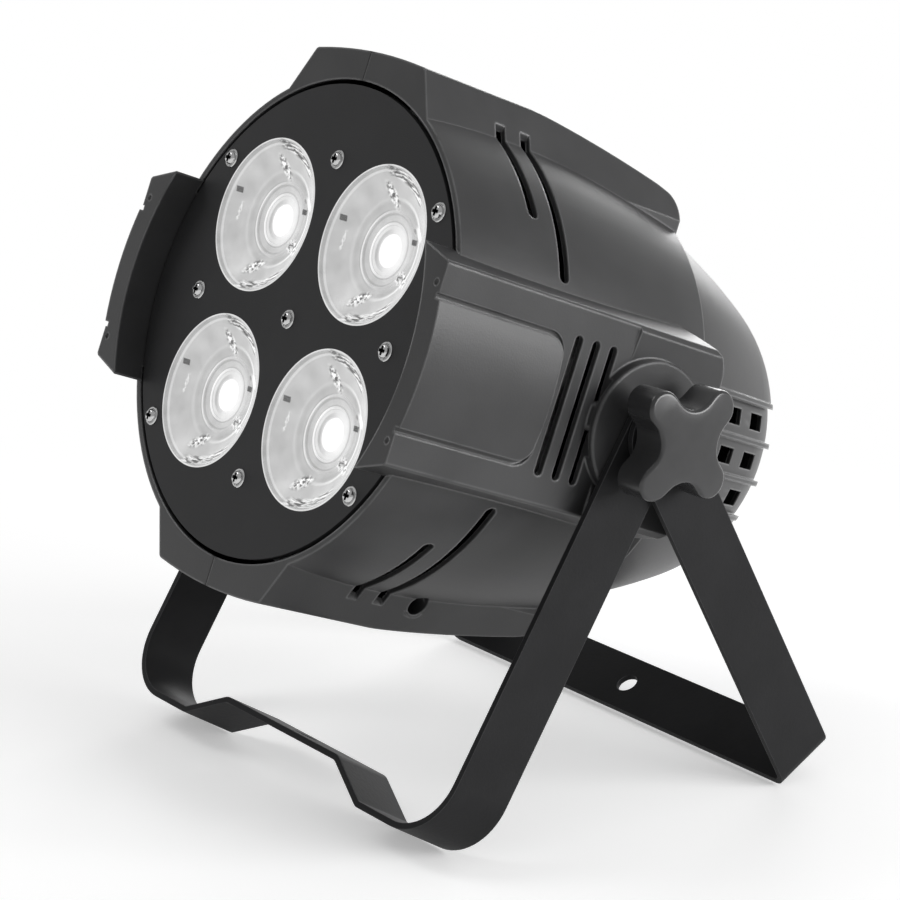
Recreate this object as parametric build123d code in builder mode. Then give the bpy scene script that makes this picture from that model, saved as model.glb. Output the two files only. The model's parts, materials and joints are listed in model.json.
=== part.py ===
from build123d import *
import os
from math import cos, radians, sin, sqrt

# LED par can light on a double bracket.
# Part frame: X runs along the tilt axis, the lamp faces -Y, Z is up, and the brackets stand
# on Z = 0 with the middle of the whole part's footprint at the origin.
# The head is modelled level, with the tilt axis through the origin, and is tilted when saved.
# "Depth" is the distance behind the front plate's outer face.

# ---- Driving dimensions, in millimetres and degrees ----

# Stance
head_tilt = 20.0
bracket_splay = 30.7          # each bracket's legs, away from straight down

# Head shell
pivot_depth = 100.0
shell_depth = 137.0
shell_front_r = 98.8
shell_swell = 1.4             # fuller than at the front by this at the widest
shell_swell_depth = 62.0
shell_fall = 6.0              # narrower than at the front by this at the rear
shell_edge = 2.4
wall = 2.5

# Side pods, which run forward past the plate as lips
pod_proud = 2.8               # flank beyond the shell's front radius
pod_half_height = 37.4
pod_step_in = 0.9             # small step from the flank to the sloping top face
pod_step_up = 1.0
pod_slope = 0.30              # fall of the sloping face, per millimetre outward
pod_root_inset = 31.6         # from the flank to where the pod ends inside the shell
pod_top = 43.5
pod_rear_gap = 3.0            # pod's rear to the shell's
pod_corner = 20.0
lip_length = 14.0
lip_gap = 0.8                 # around the plate
skirt_depth = 6.0
lip_hole_r = 1.2
lip_hole_depth = 1.0
lip_hole_inset = 3.2
lip_hole_z = 29.7

# Wedges that thicken the flank towards its upper and lower edges, behind the vents
wedge_depth = 84.4
wedge_foot = 24.0
wedge_proud = 1.3
wedge_top_gap = 1.2

# Raised pad on each pod, in a shallow groove
pad_proud = 4.2               # pad's middle beyond the flank
pad_half_height = 24.0
pad_end = 49.0
pad_corner = 6.5
groove_width = 2.0
groove_depth = 1.2

# Ridges above and below
ridge_proud = 9.4             # crown beyond the shell's front radius
ridge_arch = 2.4              # crown's middle above its sides
ridge_top_x = 35.7
ridge_foot_x = 47.6
ridge_foot_sink = 1.7         # sides' feet inside the shell's front radius
ridge_inner_drop = 48.0       # crown to where the ridge ends inside the shell
ridge_flat_depth = 15.0
ridge_bend_gap = 62.0         # bend, end and rear of the crown's fall: place before the
ridge_bend_drop = 4.2         # shell's rear, and drop below the crown
ridge_end_gap = 12.0
ridge_end_drop = 12.2
ridge_rear_drop = 15.7
ridge_corner = 9.0
ridge_edge = 2.5

# Vents in the shell
side_vent_width = 4.0
side_vent_length = 54.6
side_vent_depth = 56.6
side_vent_pitch = 9.0
side_vent_count = 3
arc_vent_width = 5.0
arc_vent_depth = 38.0
arc_vent_pitch = 13.0
arc_vent_top = 66.5           # degrees above the pods' mid plane
arc_vent_ends = (41.0, 27.5)  # lower ends, front vent first, in degrees
shell_screw_depth = 69.5
shell_screw_inset = 16.2      # from the lower crown
shell_screw_seat = 24.0       # from the seam to under the head
shell_screw_bore_r = 4.2
shell_screw_tube_r = 5.8
shell_screw_head_r = 3.4
shell_screw_head = 2.4
shell_screw_r = 1.5

# Tilt pivot
boss_r = 28.0
boss_proud = 4.9              # beyond the flank
boss_edge = 1.0
boss_tube_r = 12.0
insert_r = 7.0
insert_length = 20.0
bolt_r = 4.0
bolt_fit = 0.05
bolt_reach = 18.5             # from the boss's face into the insert
bolt_head_r = 7.2             # across the hexagon's corners
bolt_head = 5.0
run_gap = 0.3
washer = 0.5
washer_r = 12.0
knob_washer = 1.5
knob_washer_r = 9.5
knob_tip_r = 27.0
knob_lobe = 14.0
knob_valley_r = 10.0
knob_thick = 16.6
knob_turn = 13.6
knob_edge = 2.2

# Brackets
strip = 2.5
strip_width = 27.5
leg = 176.5                   # tilt axis to the foot's outer face
front_bend = 25.0
rear_bend = 6.0
foot_inner = 62.0
step_inner = 39.0
step_rise = 12.0
step_bend = 5.0
front_hole_r = 5.25
rear_hole_r = 4.75

# Front plate and optics
plate_inset = 4.4             # plate's edge inside the shell's front radius
plate = 3.0
lens_margin = 12.2            # plate's edge to a window
lens_web = 11.8               # between neighbouring windows
lens_gap = 0.3
lens_set_back = 1.3
lens_flange_lap = 1.6         # flange beyond the window
lens_flange = 2.0
lens_flange_depth = 3.3       # front of the flange, close behind the plate
lens_shoulder = 2.0           # flange's edge to the body
lens_led_gap = 0.3            # lens's tail to the LED's dome
lens_waist = 6.2              # body's edge to its waist, halfway back
lens_tail_r = 10.0
lens_pocket_r = 8.0
lens_pocket = 10.0
holder_rim = 1.8              # beyond the flange
holder_foot_r = 20.5
holder_wall = 1.6
led_size = 26.0
led_thick = 1.6
led_r = 7.5
led_dome = 0.8
plate_screw_r = 3.0
plate_screw_head = 2.2
plate_screw_edge = 0.9
plate_screw_shank_r = 1.5
plate_screw_length = 10.0
plate_screw_inset = 5.5       # plate's edge to the outer screws
plate_screw_angle = 38.0      # outer screws, from the horizontal
plate_screw_cross_inset = 29.9
standoff_r = 3.2
standoff_bore = 2.0           # beyond the screw's tip

# Heatsink, fan and driver
sink_depth = 30.0
sink_base = 5.0
sink_inset = 5.8              # base's edge inside the shell's front radius
sink_ledge = 3.0
sink_ledge_lap = 4.5
fin = 2.0
fin_pitch = 9.0
fin_height = 46.0
fin_inset = 7.0               # fins' ends inside the base's edge
fan_size = 92.0
fan_thick = 25.0
fan_duct_r = 44.0
fan_corner = 5.0
fan_hub_r = 18.0
fan_tip_gap = 1.0
fan_blades = 7
fan_blade = 1.4
fan_blade_root = 2.0          # blades' roots inside the hub
fan_pitch_angle = 38.0
fan_twist = 15.0
fan_strut = 4.0
fan_strut_thick = 3.0
fan_shaft_r = 1.5
fan_shaft_gap = 2.0           # hub's front to the shaft's tip
fan_shaft_bore = 1.0          # hub's front to the bore's end
tray_depth = 118.0
tray_inset = 9.0              # tray's edge inside the heatsink's
tray = 1.5
tray_window_r = 38.0
tray_post_r = 3.0
tray_post_inset = 7.0
tray_post_gap = 6.5           # posts' distance from the middle, in fin pitches
driver_width = 92.0
driver_height = 50.0
driver_rim_gap = 21.0         # tray's lowest edge to the driver board
driver_post_inset = 5.0
driver_stand = 6.0
board = 1.6
transformer_width = 34.0
transformer_height = 30.0
transformer_depth = 26.0
capacitor_r = 8.0
capacitor_gap = 4.0
capacitor_height = 28.0

# Rear cover
cover_step = 5.2              # neck inside the shell's rear radius
cover_fit = 0.3
cover_flange_lap = 2.4
cover_flange = 3.0
cover_length = 79.0           # behind the shell
cover_mid_length = 34.0
cover_bulge = 1.65            # fullness at that place
cover_turn_length = 63.5
cover_turn_r = 66.4
cover_edge = 1.5
cover_end_wall = 4.5
band_half_height = 24.5
band_recess = 2.0
rail = 2.2
rail_proud = 1.0
vent_length = 12.0
vent_height = 6.6
vent_pitch = 22.0
vent_count = 3
vent_centre = 38.0            # behind the shell

# Rear panel
panel_r = 54.3
panel_rim = 2.3               # cover's end around the panel
panel = 2.0
panel_gap = 0.3
panel_ledge = 4.3
panel_screw_inset = 2.7       # panel's edge to its screws
panel_screw_r = 2.3
panel_screw_head = 1.2
panel_screw_shank_r = 1.1
panel_screw_length = 5.0
socket_size = (26.0, 31.0)
socket_corner = 3.0
socket_flange = 2.0
socket_pitch = (30.0, 33.5)
socket_z = -9.0
socket_barrel_r = 11.8
socket_length = 24.0
socket_mouth_r = 9.6
socket_mouth = 15.0
socket_screw_offset = (9.6, 12.2)
pin_r = 1.2
pin_circle = 4.0
pin_length = 9.0
pin_hole_r = 1.7
socket_core_r = 7.2
mains_core_r = 6.2
mains_slot = (1.6, 5.0)
window_size = (30.0, 11.0)
window_z = 40.4
window_frame = 1.0
button_r = 2.8
button_gap = 0.3
button_flange_r = 3.8
button_flange = 1.2
button_proud = 2.0
button_edge = 0.5
button_seat_gap = 0.2
button_travel = 1.0
button_pitch = 10.0
button_z = 29.8
button_names = ("menu", "down", "up", "enter")
control_size = (43.0, 18.0)
control_z = 36.0
control_gap = 7.5             # panel's inner face to the control board
switch_size = 6.0
control_post_r = 2.0
control_post_place = (18.9, 40.0)
eye_width = 18.0
eye = 2.0
eye_base = 8.0
eye_reach = 9.5
eye_hole_r = 4.5
eye_z = -43.3
eye_screw_pitch = 12.0

# ---- Places worked out from the driving dimensions ----

shell_mid_r = shell_front_r + shell_swell
shell_rear_r = shell_front_r - shell_fall
pod_half_width = shell_front_r + pod_proud
pod_rear = shell_depth - pod_rear_gap
pad_r = pod_half_width + pad_proud
ridge_crown = shell_front_r + ridge_proud
ridge_inner = ridge_crown - ridge_inner_drop
ridge_foot_z = sqrt((shell_front_r - ridge_foot_sink) ** 2 - ridge_foot_x ** 2)
shell_screw_z = shell_screw_inset - ridge_crown
plate_r = shell_front_r - plate_inset
lip_r = plate_r + lip_gap
lens_window_r = (plate_r - lens_margin - lens_web / sqrt(2)) / (1 + sqrt(2))
lens_spacing = 2 * lens_window_r + lens_web
lens_flange_r = lens_window_r + lens_flange_lap
lens_body_r = lens_flange_r - lens_shoulder
sink_r = shell_front_r - sink_inset
fin_r = sink_r - fin_inset
tray_r = sink_r - tray_inset
driver_z = driver_rim_gap + driver_height / 2 - tray_r
cover_neck_r = shell_rear_r - cover_step
cover_end_r = panel_r + panel_rim
cover_end = shell_depth + cover_length                # depth of the cover's and panel's rear face
boss_face = pod_half_width + boss_proud
front_arm = boss_face + washer + run_gap              # inner face of the front bracket's arm
rear_arm = front_arm + strip + washer + run_gap       # inner face of the rear bracket's arm
knob_washer_face = rear_arm + strip + run_gap
knob_back = knob_washer_face + knob_washer
knob_face = knob_back + knob_thick
shell_lip = cover_flange - 0.5                        # rear lip that traps the cover's flange
flange_depth = shell_depth - shell_lip - cover_fit - cover_flange
panel_depth = cover_end - panel                       # panel's inner face
sink_back = sink_depth + sink_base
fan_depth = sink_back + fin_height
tilt_height = leg * cos(radians(bracket_splay)) + strip_width / 2 * sin(radians(bracket_splay))
lens_places = [(x * lens_spacing / 2, z * lens_spacing / 2) for z in (1, -1) for x in (-1, 1)]

HEAD = Location((0, 0, tilt_height), (-head_tilt, 0, 0))
FRONT_LEGS = Location((0, 0, tilt_height), (-bracket_splay, 0, 0))
REAR_LEGS = Location((0, 0, tilt_height), (bracket_splay, 0, 0))


def across(depth):
    """Cross-section plane of the level head at a depth; its normal faces the front."""
    return Plane.XZ.offset(pivot_depth - depth)


def y_at(depth):
    """Y of the level head at a depth."""
    return depth - pivot_depth


def cylinder_between(radius, start, end, mode=Mode.ADD):
    """Round bar along the lamp's axis between two depths, at the current locations."""
    with BuildSketch(across(end)) as section:
        Circle(radius)
    extrude(section.sketch, amount=end - start, mode=mode)


pieces = {}


def save(builder, name, place=HEAD):
    """Keeps a finished piece under its name, moved to its place on the standing lamp."""
    pieces[name] = builder.part.moved(place)


# ---- Head shell ----


def barrel(inset, end, edge=0.0):
    """Body of revolution inside the shell's curve, from the front face to a depth."""
    with BuildPart() as form:
        with BuildSketch(Plane.XY) as profile:
            with BuildLine():
                side = ThreePointArc(
                    (shell_front_r - inset, y_at(0)),
                    (shell_mid_r - inset, y_at(shell_swell_depth)),
                    (shell_rear_r - inset, y_at(shell_depth)),
                )
                Polyline(side @ 1, (0, y_at(shell_depth)), (0, y_at(0)), side @ 0)
            make_face()
            if edge:
                fillet(profile.vertices().group_by(Axis.Y)[-1].sort_by(Axis.X)[-1], radius=edge)
        revolve(axis=Axis.Y)
        split(bisect_by=across(end), keep=Keep.TOP)
    return form.part


def pods(inset):
    """Both side pods, each a trapezium section with its rear corners rounded."""
    side_x, side_z = pod_half_width, pod_half_height
    step_x, step_z = side_x - pod_step_in, side_z + pod_step_up
    root_x = side_x - pod_root_inset
    root_z = step_z + pod_slope * (step_x - root_x)
    length = pod_rear + lip_length
    with BuildPart() as form:
        with BuildSketch(across(pod_rear)):
            with BuildLine():
                Polyline(
                    (root_x, root_z), (step_x, step_z), (side_x, side_z),
                    (side_x, -side_z), (step_x, -step_z), (root_x, -root_z), close=True,
                )
            make_face()
            if inset:
                offset(amount=-inset, kind=Kind.INTERSECTION)
        extrude(amount=length)
        if not inset:
            with BuildSketch(across(pod_rear)):
                with BuildLine():
                    Polyline(
                        (side_x - wall, wedge_foot), (side_x, wedge_foot),
                        (side_x + wedge_proud, side_z - wedge_top_gap), (step_x, step_z),
                        (side_x - wall, step_z), close=True,
                    )
                make_face()
                mirror(about=Plane.XZ)
            extrude(amount=pod_rear - wedge_depth)
        with BuildSketch(Plane.YZ) as outline:
            with Locations((y_at(pod_rear - inset), 0)):
                Rectangle(length - 2 * inset, 2 * (pod_top - inset), align=(Align.MAX, Align.CENTER))
            fillet(outline.vertices().group_by(Axis.X)[-1], radius=pod_corner - inset)
        extrude(amount=side_x + wedge_proud, mode=Mode.INTERSECT)
        mirror(about=Plane.YZ)
    return form.part


def ridges(inset):
    """Crowned ridges above and below, falling away towards the rear."""
    foot_x, foot_z = ridge_foot_x, ridge_foot_z
    top_x, top_z = ridge_top_x, ridge_crown - ridge_arch
    rear_z = ridge_crown - ridge_rear_drop
    with BuildPart() as form:
        with BuildSketch(across(shell_depth)) as section:
            with BuildLine():
                crown = ThreePointArc((-top_x, top_z), (0, ridge_crown), (top_x, top_z))
                Polyline(
                    crown @ 1, (foot_x, foot_z), (foot_x, ridge_inner),
                    (-foot_x, ridge_inner), (-foot_x, foot_z), crown @ 0,
                )
            make_face()
            fillet(section.vertices().group_by(Axis.Y)[-1], radius=ridge_edge)
            if inset:
                offset(amount=-inset, kind=Kind.INTERSECTION)
        extrude(amount=shell_depth)
        with BuildSketch(Plane.YZ) as outline:
            with BuildLine():
                fall = ThreePointArc(
                    (y_at(ridge_flat_depth), ridge_crown),
                    (y_at(shell_depth - ridge_bend_gap), ridge_crown - ridge_bend_drop),
                    (y_at(shell_depth - ridge_end_gap), ridge_crown - ridge_end_drop),
                )
                Polyline(
                    fall @ 1, (y_at(shell_depth), rear_z), (y_at(shell_depth), ridge_inner),
                    (y_at(0), ridge_inner), (y_at(0), ridge_crown), fall @ 0,
                )
            make_face()
            rear_top = outline.vertices().group_by(Axis.X)[-1].sort_by(Axis.Y)[-1]
            fillet(rear_top, radius=ridge_corner)
            if inset:
                offset(amount=-inset, kind=Kind.INTERSECTION)
        extrude(amount=foot_x, both=True, mode=Mode.INTERSECT)
        mirror(about=Plane.XY)
    return form.part


with BuildPart() as cavity:
    add(barrel(wall, shell_depth - shell_lip))
    add(pods(wall))
    add(ridges(wall))
    cylinder_between(lip_r + wall, -lip_length, 0, mode=Mode.SUBTRACT)
    cylinder_between(cover_neck_r + cover_fit, shell_depth - shell_lip, shell_depth)

with BuildPart() as pad:
    # Raised pad, cylindrical outside and hollow behind
    with BuildSketch(Plane.YZ.offset(pod_half_width - wall)) as outline:
        with Locations((y_at(pad_end), 0)):
            Rectangle(
                lip_length + pad_end, 2 * pad_half_height, align=(Align.MAX, Align.CENTER)
            )
        fillet(outline.vertices().group_by(Axis.X)[-1], radius=pad_corner)
    extrude(amount=pad_r)
    with BuildSketch(across(pad_end)):
        Circle(pad_r)
    extrude(amount=lip_length + pad_end, mode=Mode.INTERSECT)

with BuildPart() as housing_right:
    add(barrel(0, shell_depth, shell_edge))
    add(pods(0))
    add(ridges(0))
    cylinder_between(lip_r, -lip_length, 0, mode=Mode.SUBTRACT)
    # Shallow groove in the flank around the pad
    with BuildSketch(Plane.YZ.offset(pod_half_width - groove_depth)) as outline:
        with Locations((y_at(pad_end + groove_width), 0)):
            Rectangle(
                lip_length + pad_end + groove_width, 2 * (pad_half_height + groove_width),
                align=(Align.MAX, Align.CENTER),
            )
        fillet(outline.vertices().group_by(Axis.X)[-1], radius=pad_corner + groove_width)
    extrude(amount=groove_depth, mode=Mode.SUBTRACT)
    add(pad.part)
    add(cavity.part, mode=Mode.SUBTRACT)
    # Skirt that carries each lip's inner wall past the plate's edge
    with BuildSketch(across(skirt_depth)):
        Circle(lip_r + wall)
        Circle(lip_r, mode=Mode.SUBTRACT)
        with Locations((pod_half_width, 0)):
            Rectangle(2 * pod_root_inset, 2 * pod_half_height, mode=Mode.INTERSECT)
    extrude(amount=skirt_depth + wall)
    # Ledge behind the heatsink
    with BuildSketch(across(sink_back + sink_ledge)):
        Circle(shell_mid_r - wall / 2)
        Circle(sink_r - sink_ledge_lap, mode=Mode.SUBTRACT)
    extrude(amount=sink_ledge)
    split(bisect_by=Plane.YZ, keep=Keep.TOP)

    # Pivot boss outside, and the tube inside that holds the insert
    with BuildSketch(Plane.YZ.offset(pod_half_width - wall)):
        Circle(boss_r)
    extrude(amount=boss_face - pod_half_width + wall)
    fillet(
        housing_right.edges().filter_by(GeomType.CIRCLE).sort_by(Axis.X)[-1], radius=boss_edge
    )
    with BuildSketch(Plane.YZ.offset(boss_face - insert_length - wall)):
        Circle(boss_tube_r)
    extrude(amount=insert_length)
    with BuildSketch(Plane.YZ.offset(boss_face - insert_length - wall)):
        Circle(insert_r + bolt_fit)
    extrude(amount=insert_length + wall, mode=Mode.SUBTRACT)

    # Straight vents in the flank
    for index in range(side_vent_count):
        with BuildSketch(Plane.YZ.offset(pod_half_width - 2 * wall)):
            with Locations((y_at(side_vent_depth + index * side_vent_pitch), 0)):
                SlotOverall(side_vent_length, side_vent_width, rotation=90)
        extrude(amount=3 * wall, mode=Mode.SUBTRACT)

    # Curved vents around the shell, above and below, running on into the ridges' sides
    for index, low_angle in enumerate(arc_vent_ends):
        depth = arc_vent_depth + index * arc_vent_pitch
        for side in (1, -1):
            start = Plane.XY.rotated((0, -side * low_angle, 0))
            with BuildSketch(start):
                with Locations((shell_front_r, y_at(depth))):
                    Rectangle(6 * wall, arc_vent_width)
            revolve(
                axis=Axis((0, 0, 0), (0, -side, 0)),
                revolution_arc=arc_vent_top - low_angle, mode=Mode.SUBTRACT,
            )
            tangent = Plane(
                origin=start.from_local_coords((shell_front_r - 3 * wall, y_at(depth), 0)),
                z_dir=start.x_dir,
            )
            with BuildSketch(tangent):
                Circle(arc_vent_width / 2)
            extrude(amount=6 * wall, mode=Mode.SUBTRACT)

    # Tube and pocket for the screw that joins the halves below
    with BuildSketch(Plane.YZ):
        with Locations((y_at(shell_screw_depth), shell_screw_z)):
            Circle(shell_screw_tube_r)
    extrude(amount=(ridge_foot_x + ridge_top_x) / 2)
    with BuildSketch(Plane.YZ.offset(shell_screw_seat)):
        with Locations((y_at(shell_screw_depth), shell_screw_z)):
            Circle(shell_screw_bore_r)
    extrude(amount=ridge_foot_x, mode=Mode.SUBTRACT)
    with BuildSketch(Plane.YZ):
        with Locations((y_at(shell_screw_depth), shell_screw_z)):
            Circle(shell_screw_r + bolt_fit)
    extrude(amount=shell_screw_seat, mode=Mode.SUBTRACT)

    # Dimples in the lip's face
    with BuildSketch(across(lip_hole_depth - lip_length)):
        with Locations((pod_half_width - lip_hole_inset, 0)):
            with GridLocations(0, 2 * lip_hole_z, 1, 2):
                Circle(lip_hole_r)
    extrude(amount=lip_hole_depth, mode=Mode.SUBTRACT)
save(housing_right, "housing_right")

with BuildPart() as housing_left:
    mirror(housing_right.part, about=Plane.YZ)
save(housing_left, "housing_left")

with BuildPart() as shell_screws:
    # One from each side, meeting near the seam
    with BuildSketch(Plane.YZ.offset(shell_screw_seat)):
        with Locations((y_at(shell_screw_depth), shell_screw_z)):
            Circle(shell_screw_head_r)
    extrude(amount=shell_screw_head)
    with BuildSketch(Plane.YZ.offset(run_gap)):
        with Locations((y_at(shell_screw_depth), shell_screw_z)):
            Circle(shell_screw_r)
    extrude(amount=shell_screw_seat - run_gap)
    mirror(about=Plane.YZ)
save(shell_screws, "shell_screws")

# ---- Front plate and its fixings ----

cross = plate_r - plate_screw_cross_inset
corner_x = (plate_r - plate_screw_inset) * cos(radians(plate_screw_angle))
corner_z = (plate_r - plate_screw_inset) * sin(radians(plate_screw_angle))
screw_places = [(0, 0), (cross, 0), (-cross, 0), (0, cross), (0, -cross)]
screw_places += [(x * corner_x, z * corner_z) for x in (1, -1) for z in (1, -1)]

with BuildPart() as front_plate:
    with BuildSketch(across(plate)):
        Circle(plate_r)
        with Locations(*lens_places):
            Circle(lens_window_r, mode=Mode.SUBTRACT)
        with Locations(*screw_places):
            Circle(plate_screw_shank_r + bolt_fit, mode=Mode.SUBTRACT)
    extrude(amount=plate)
save(front_plate, "front_plate")

with BuildPart() as plate_screws:
    with BuildSketch(across(0)):
        with Locations(*screw_places):
            Circle(plate_screw_r)
    extrude(amount=plate_screw_head)
    chamfer(
        plate_screws.edges().filter_by(GeomType.CIRCLE).group_by(Axis.Y)[0],
        length=plate_screw_edge,
    )
    with BuildSketch(across(plate_screw_length)):
        with Locations(*screw_places):
            Circle(plate_screw_shank_r)
    extrude(amount=plate_screw_length)
save(plate_screws, "plate_screws")

with BuildPart() as plate_standoffs:
    with BuildSketch(across(sink_depth)):
        with Locations(*screw_places):
            RegularPolygon(standoff_r, 6)
    extrude(amount=sink_depth - plate)
    with BuildSketch(across(plate_screw_length + standoff_bore)):
        with Locations(*screw_places):
            Circle(plate_screw_shank_r + bolt_fit)
    extrude(amount=plate_screw_length + standoff_bore - plate, mode=Mode.SUBTRACT)
save(plate_standoffs, "plate_standoffs")

# ---- Lenses, holders and LED modules ----

flange_back = lens_flange_depth + lens_flange
lens_tail = sink_depth - led_thick - led_dome - lens_led_gap

for number, (lens_x, lens_z) in enumerate(lens_places, start=1):
    axis_plane = Plane(origin=(lens_x, y_at(0), lens_z), x_dir=(1, 0, 0), z_dir=(0, 0, 1))
    axis_line = Axis(axis_plane.origin, (0, 1, 0))

    with BuildPart() as lens:
        with BuildSketch(axis_plane):
            with BuildLine():
                Polyline(
                    (0, lens_set_back), (lens_window_r - lens_gap, lens_set_back),
                    (lens_window_r - lens_gap, lens_flange_depth),
                    (lens_flange_r, lens_flange_depth), (lens_flange_r, flange_back),
                    (lens_body_r, flange_back), (lens_body_r - lens_waist, (flange_back + lens_tail) / 2),
                    (lens_tail_r, lens_tail), (lens_pocket_r, lens_tail),
                    (lens_pocket_r, lens_tail - lens_pocket), (0, lens_tail - lens_pocket),
                    close=True,
                )
            make_face()
        revolve(axis=axis_line)
    save(lens, f"lens_{number}")

    with BuildPart() as lens_holder:
        with BuildSketch(axis_plane):
            with BuildLine():
                Polyline(
                    (lens_body_r + lens_gap, flange_back),
                    (lens_flange_r + holder_rim, flange_back),
                    (holder_foot_r, sink_depth), (holder_foot_r - holder_wall, sink_depth),
                    (lens_body_r + lens_gap, flange_back + holder_wall), close=True,
                )
            make_face()
        revolve(axis=axis_line)
    save(lens_holder, f"lens_holder_{number}")

    with BuildPart() as led_module:
        with BuildSketch(across(sink_depth)):
            with Locations((lens_x, lens_z)):
                Rectangle(led_size, led_size)
        extrude(amount=led_thick)
        with BuildSketch(across(sink_depth - led_thick)):
            with Locations((lens_x, lens_z)):
                Circle(led_r)
        extrude(amount=led_dome)
    save(led_module, f"led_module_{number}")

# ---- Heatsink, fan and driver ----

fin_count = 2 * int((fin_r - fin_pitch / 2) / fin_pitch) + 1
post_x = tray_post_gap * fin_pitch
post_z = sqrt((tray_r - tray_post_inset) ** 2 - post_x ** 2)
post_places = [(x * post_x, z * post_z) for x in (1, -1) for z in (1, -1)]

with BuildPart() as heatsink:
    cylinder_between(sink_r, sink_depth, sink_back)
    with BuildSketch(across(fan_depth)):
        with GridLocations(fin_pitch, 0, fin_count, 1):
            Rectangle(fin, 2 * fin_r)
        Circle(fin_r, mode=Mode.INTERSECT)
    extrude(amount=fin_height)
save(heatsink, "heatsink")

with BuildPart() as fan_frame:
    with BuildSketch(across(fan_depth + fan_thick)):
        RectangleRounded(fan_size, fan_size, fan_corner)
        Circle(fan_duct_r, mode=Mode.SUBTRACT)
    extrude(amount=fan_thick)
    with BuildSketch(across(fan_depth + fan_thick)):
        Circle(fan_hub_r)
        for turn in (45, 135):
            Rectangle(2 * fan_duct_r + fan_corner, fan_strut, rotation=turn)
    extrude(amount=fan_strut_thick)
    cylinder_between(
        fan_shaft_r, fan_depth + fan_tip_gap + fan_shaft_gap, fan_depth + fan_thick
    )
save(fan_frame, "fan_frame")

rotor_front = fan_depth + fan_tip_gap
rotor_back = fan_depth + fan_thick - fan_strut_thick - fan_tip_gap
rotor_middle = y_at((rotor_front + rotor_back) / 2)
blade_width = (rotor_back - rotor_front) / cos(radians(fan_pitch_angle)) - 2 * fan_blade

with BuildPart() as blade:
    # One blade, twisted between a root inside the hub and the tip
    for radius, twist in ((fan_hub_r - fan_blade_root, fan_twist), (fan_duct_r - fan_tip_gap, 0)):
        with BuildSketch(Plane.YZ.offset(radius)):
            with Locations((rotor_middle, 0)):
                Rectangle(blade_width, fan_blade, rotation=fan_pitch_angle + twist)
    loft()

with BuildPart() as fan_rotor:
    cylinder_between(fan_hub_r, rotor_front, rotor_back)
    for index in range(fan_blades):
        add(blade.part.rotate(Axis.Y, index * 360 / fan_blades))
    with BuildSketch(across(rotor_back)):
        Circle(fan_shaft_r + bolt_fit)
    extrude(amount=rotor_back - rotor_front - fan_shaft_bore, mode=Mode.SUBTRACT)
save(fan_rotor, "fan_rotor")

with BuildPart() as driver_tray:
    with BuildSketch(across(tray_depth + tray)):
        Circle(tray_r)
        with Locations((0, tray_window_r / 2)):
            Circle(tray_window_r, mode=Mode.SUBTRACT)
    extrude(amount=tray)
    with BuildSketch(across(tray_depth)):
        with Locations(*post_places):
            Circle(tray_post_r)
    extrude(amount=tray_depth - sink_back)
    with BuildSketch(across(tray_depth + tray + driver_stand)):
        with Locations((0, driver_z)):
            with GridLocations(
                driver_width - 2 * driver_post_inset, driver_height - 2 * driver_post_inset, 2, 2
            ):
                Circle(tray_post_r)
    extrude(amount=driver_stand)
save(driver_tray, "driver_tray")

driver_face = tray_depth + tray + driver_stand + board
with BuildPart() as driver_board:
    with BuildSketch(across(driver_face)):
        with Locations((0, driver_z)):
            Rectangle(driver_width, driver_height)
    extrude(amount=board)
    with BuildSketch(across(driver_face + transformer_depth)):
        with Locations((-transformer_width / 2, driver_z)):
            Rectangle(transformer_width, transformer_height)
    extrude(amount=transformer_depth)
    with BuildSketch(across(driver_face + capacitor_height)):
        with Locations((capacitor_r + capacitor_gap, driver_z)):
            with GridLocations(0, 2 * capacitor_r + capacitor_gap, 1, 2):
                Circle(capacitor_r)
        with Locations((3 * capacitor_r + 2 * capacitor_gap, driver_z)):
            Circle(capacitor_r)
    extrude(amount=capacitor_height)
save(driver_board, "driver_board")

# ---- Rear cover ----


fall = (cover_neck_r - cover_turn_r) * cover_mid_length / cover_turn_length
cover_mid_r = cover_neck_r - fall + cover_bulge


def dome(grow, end):
    """Solid inside the cover's curve, from the trapped neck back to a depth."""
    with BuildPart() as form:
        with BuildSketch(Plane.XY):
            with BuildLine():
                neck = Line(
                    (cover_neck_r + grow, y_at(flange_depth)), (cover_neck_r + grow, y_at(shell_depth))
                )
                curve = ThreePointArc(
                    neck @ 1,
                    (cover_mid_r + grow, y_at(shell_depth + cover_mid_length)),
                    (cover_turn_r + grow, y_at(shell_depth + cover_turn_length)),
                )
                shoulder = TangentArc(
                    curve @ 1, (cover_end_r + grow, y_at(cover_end)), tangent=curve % 1
                )
                Polyline(shoulder @ 1, (0, y_at(cover_end)), (0, y_at(flange_depth)), neck @ 0)
            make_face()
        revolve(axis=Axis.Y)
        split(bisect_by=across(end), keep=Keep.TOP)
    return form.part


def slab(half_height, start):
    """Block across the head, of a height each way from its middle, from a depth back."""
    with BuildPart() as form:
        with BuildSketch(across(start)):
            Rectangle(3 * cover_neck_r, 2 * half_height)
        extrude(amount=-cover_end)
    return form.part


inner_end = cover_end - cover_end_wall
with BuildPart() as cover_cavity:
    add(dome(-wall, inner_end))
    add(slab(band_half_height + wall, shell_depth), mode=Mode.SUBTRACT)
    add(dome(-wall - band_recess, inner_end))

with BuildPart() as band_cut:
    # What comes off the dome around its middle to leave the recessed vent band
    add(slab(band_half_height, shell_depth + wall))
    add(dome(-band_recess, cover_end), mode=Mode.SUBTRACT)

with BuildPart() as rails:
    add(dome(rail_proud, cover_end - cover_edge))
    with BuildSketch(Plane.YZ):
        with Locations((y_at(shell_depth), 0)):
            with GridLocations(0, 2 * band_half_height / 3, 1, 4):
                Rectangle(cover_length, rail, align=(Align.MIN, Align.CENTER))
    extrude(amount=2 * cover_neck_r, both=True, mode=Mode.INTERSECT)

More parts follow.
